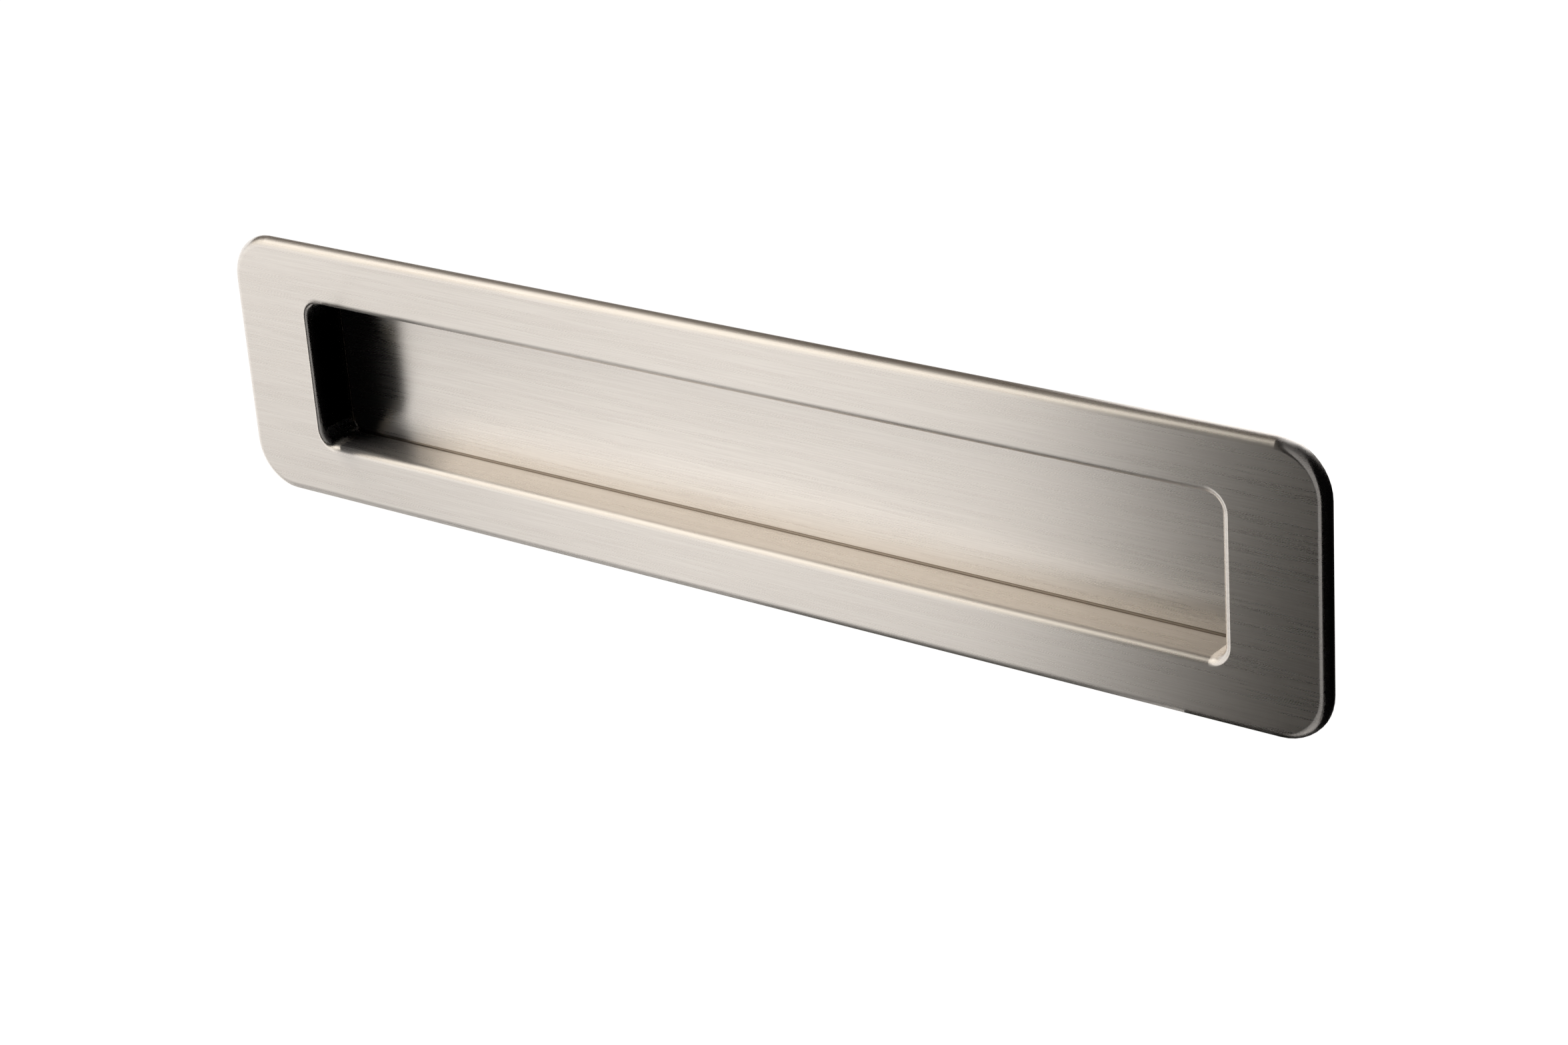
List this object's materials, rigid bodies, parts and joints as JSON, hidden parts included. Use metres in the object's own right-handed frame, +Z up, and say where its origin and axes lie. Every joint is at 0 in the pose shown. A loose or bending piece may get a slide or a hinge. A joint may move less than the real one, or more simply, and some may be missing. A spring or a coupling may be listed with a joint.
{
  "type": "recessed handle",
  "caption": "Rectangular recessed pull: a brushed nickel flange with rounded corners around a shallow finger cup, fixed from behind by screws into tapped bosses.",
  "frame": {"origin": "centre of the flange's back, on the plane that lies on the door", "axes": "+X along the handle, +Y into the door so the face looks along -Y, +Z up"},
  "size_m": [0.206, 0.0088, 0.0446],
  "materials": {
    "brushed_nickel": "satin nickel plate on a zinc die casting, brushed along its length"
  },
  "bodies": {
    "root": {"handle_body": "brushed_nickel"}
  },
  "joints": []
}
